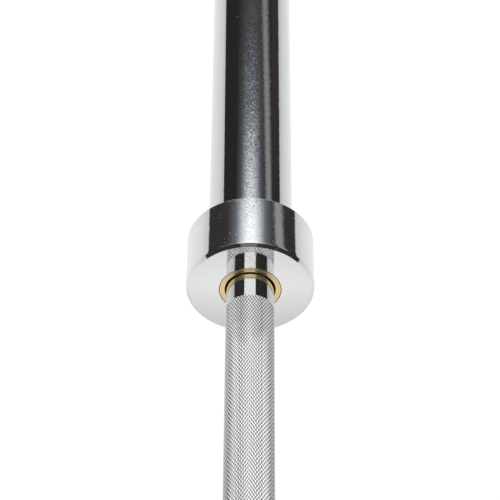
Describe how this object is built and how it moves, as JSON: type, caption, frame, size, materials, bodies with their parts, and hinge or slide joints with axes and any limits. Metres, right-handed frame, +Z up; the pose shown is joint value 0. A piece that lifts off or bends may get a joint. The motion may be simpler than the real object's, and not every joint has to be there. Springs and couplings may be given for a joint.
{
  "type": "olympic barbell",
  "caption": "Straight chromed steel weightlifting bar with knurled grips and a freely turning collared loading sleeve on bronze bushes at each end.",
  "frame": {"origin": "the middle of the bar, on its axis", "axes": "+X along the bar towards the right-hand sleeve, +Z up, +Y away from the lifter who faces the bar"},
  "size_m": [2.2, 0.075, 0.075],
  "materials": {
    "shaft_chrome": "bright chrome, knurled",
    "sleeve_chrome": "polished chrome",
    "bronze": "machined bronze",
    "washer_steel": "ground steel",
    "spring_steel": "blackened spring steel",
    "cap_steel": "satin chrome"
  },
  "bodies": {
    "shaft": {"shaft": "shaft_chrome", "left_inner_thrust_washer": "washer_steel", "left_outer_thrust_washer": "washer_steel", "left_shim": "washer_steel", "left_shaft_snap_ring": "spring_steel", "right_inner_thrust_washer": "washer_steel", "right_outer_thrust_washer": "washer_steel", "right_shim": "washer_steel", "right_shaft_snap_ring": "spring_steel"},
    "left_sleeve": {"left_sleeve_tube": "sleeve_chrome", "left_collar": "sleeve_chrome", "left_inner_bush": "bronze", "left_outer_bush": "bronze", "left_end_cap": "cap_steel", "left_end_cap_ring": "spring_steel"},
    "right_sleeve": {"right_sleeve_tube": "sleeve_chrome", "right_collar": "sleeve_chrome", "right_inner_bush": "bronze", "right_outer_bush": "bronze", "right_end_cap": "cap_steel", "right_end_cap_ring": "spring_steel"}
  },
  "joints": [
    {"name": "left_sleeve_spin", "type": "hinge", "parent": "shaft", "child": "left_sleeve", "pos_m": [-0.877, 0, 0], "axis": [1, 0, 0], "continuous": true},
    {"name": "right_sleeve_spin", "type": "hinge", "parent": "shaft", "child": "right_sleeve", "pos_m": [0.877, 0, 0], "axis": [1, 0, 0], "continuous": true}
  ]
}
